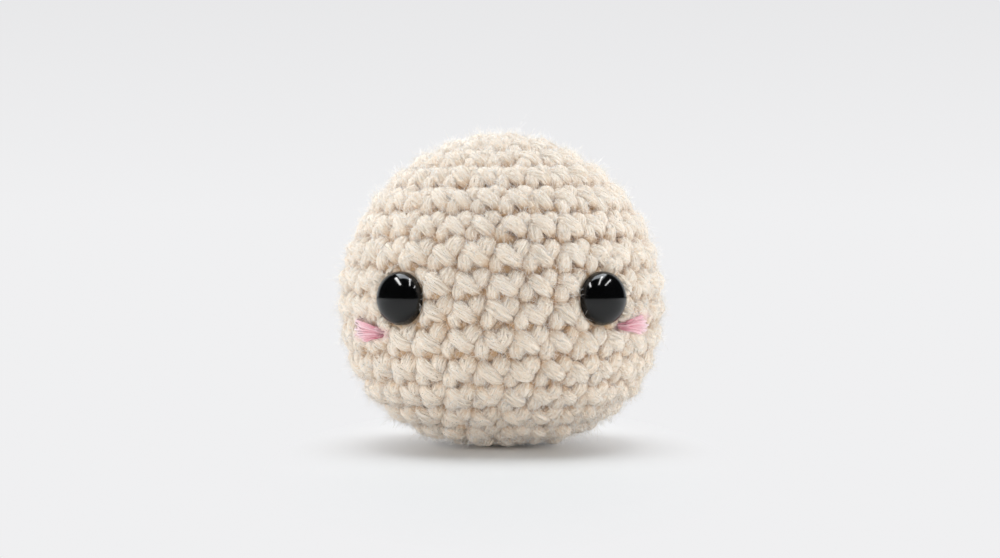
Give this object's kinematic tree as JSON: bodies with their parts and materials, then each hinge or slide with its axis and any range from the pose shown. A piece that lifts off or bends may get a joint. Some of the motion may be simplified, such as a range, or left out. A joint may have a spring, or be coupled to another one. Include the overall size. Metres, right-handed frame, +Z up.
{
  "type": "amigurumi doll",
  "caption": "Round crocheted doll with a flattened base, domed safety eyes on ribbed posts that swivel in the yarn, and pink embroidered cheeks.",
  "frame": {"origin": "middle of the flattened base, on the surface the doll stands on", "axes": "+Z up, -Y towards the face"},
  "size_m": [0.0498, 0.05, 0.0476],
  "materials": {
    "yarn": "soft cream worsted yarn, fuzzy",
    "fill": "white polyester fibre",
    "eye_plastic": "black, polished",
    "washer_plastic": "pale moulded plastic",
    "floss": "pink cotton floss with a silky sheen"
  },
  "bodies": {
    "root": {"crochet_body": "yarn", "stuffing": "fill", "left_cheek": "floss", "right_cheek": "floss"},
    "left_eye_body": {"left_eye": "eye_plastic", "left_eye_washer": "washer_plastic"},
    "right_eye_body": {"right_eye": "eye_plastic", "right_eye_washer": "washer_plastic"}
  },
  "joints": [
    {"name": "left_eye_swivel", "type": "hinge", "parent": "root", "child": "left_eye_body", "pos_m": [-0.01464, -0.01873, 0.023], "axis": [-0.6157, -0.788, 0], "continuous": true},
    {"name": "right_eye_swivel", "type": "hinge", "parent": "root", "child": "right_eye_body", "pos_m": [0.01464, -0.01873, 0.023], "axis": [0.6157, -0.788, 0], "continuous": true}
  ]
}
